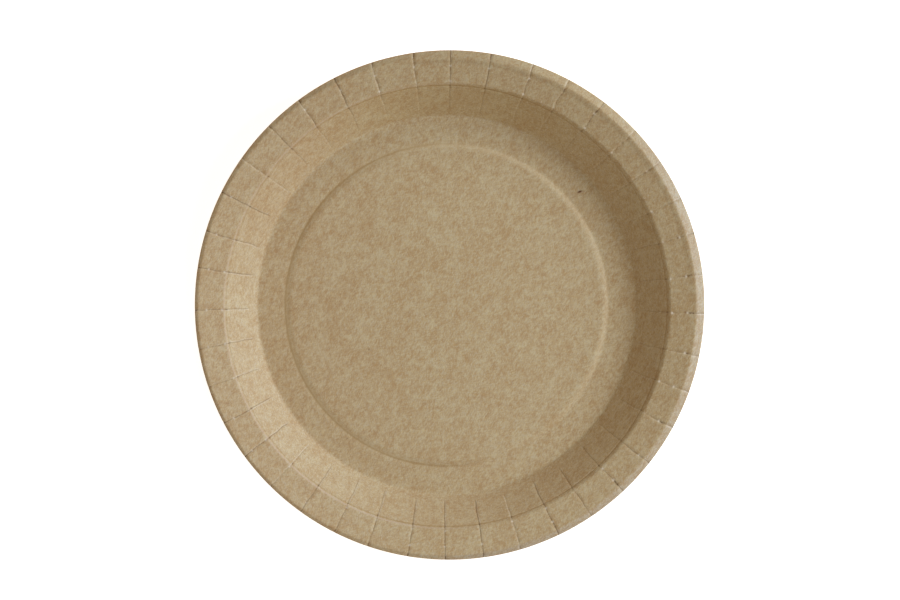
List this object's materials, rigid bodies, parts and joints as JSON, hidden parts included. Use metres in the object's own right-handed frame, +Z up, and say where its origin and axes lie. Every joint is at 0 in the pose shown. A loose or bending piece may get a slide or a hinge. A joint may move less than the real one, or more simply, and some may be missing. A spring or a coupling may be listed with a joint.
{
  "type": "paper plate",
  "caption": "Round shallow kraft paperboard plate, one pressed sheet with a raised centre panel, a foot ring, a sloped wall, a gently rising rim and a turned-down lip, pleated round its edge.",
  "frame": {"origin": "centre of the round cut edge as seen from above, in the plane that the foot ring rests on", "axes": "+Z up, out of the plate's hollow; the folds are pressed about an axis at -0.91 mm in X and -0.41 mm in Y, so the lip is widest at 24 degrees from +X and narrowest opposite"},
  "size_m": [0.18, 0.18, 0.015],
  "materials": {
    "kraft_board": "matte"
  },
  "bodies": {
    "root": {"plate": "kraft_board"}
  },
  "joints": []
}
